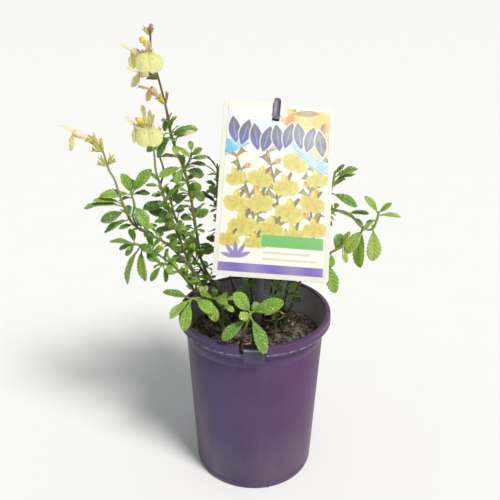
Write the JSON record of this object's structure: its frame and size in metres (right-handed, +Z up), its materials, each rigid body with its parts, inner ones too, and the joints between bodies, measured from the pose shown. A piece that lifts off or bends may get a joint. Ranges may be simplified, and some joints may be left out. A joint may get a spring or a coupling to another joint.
{
  "type": "potted salvia",
  "caption": "Leafy salvia with pale yellow two-lipped blossoms in a tapered purple nursery pot, with a leaning picture card on a stake clipped to the rim.",
  "frame": {"origin": "centre of the pot's flat base, on the pot's axis", "axes": "+Z up along the pot's axis, -Y towards the side of the rim that holds the label's clip, +X to the right of a viewer who faces the label"},
  "size_m": [0.2812, 0.1674, 0.4138],
  "materials": {
    "pot": "satin purple, injection moulded",
    "soil": "rough dark bark potting mix, slightly moist",
    "card": "printed plastic card, semi-gloss",
    "stake": "satin grey-purple plastic",
    "foliage": "living leaf and stem, slightly glossy",
    "petal": "soft pale yellow petal, matt",
    "bud": "soft golden yellow petal bud, matt"
  },
  "bodies": {
    "root": {"pot": "pot", "soil": "soil", "label_card": "card", "label_stake": "stake", "stem_spike_a": "foliage", "stem_spike_b": "foliage", "stem_spike_c": "foliage", "stem_low_left": "foliage", "stem_mid_left": "foliage", "stem_rim_left": "foliage", "stem_front": "foliage", "sprout": "foliage", "stem_inner": "foliage", "stem_right_top": "foliage", "stem_right_mid": "foliage", "stem_right_low": "foliage", "stem_back_left": "foliage", "stem_back_right": "foliage", "stem_centre": "foliage", "bloom_a_front": "petal", "bloom_a_side": "petal", "bloom_a_shade": "petal", "bloom_a_low": "petal", "bloom_b_front": "petal", "bloom_b_side": "petal", "bloom_b_back": "petal", "bloom_c_side": "petal", "bud_a": "bud", "bud_b": "bud"}
  },
  "joints": []
}
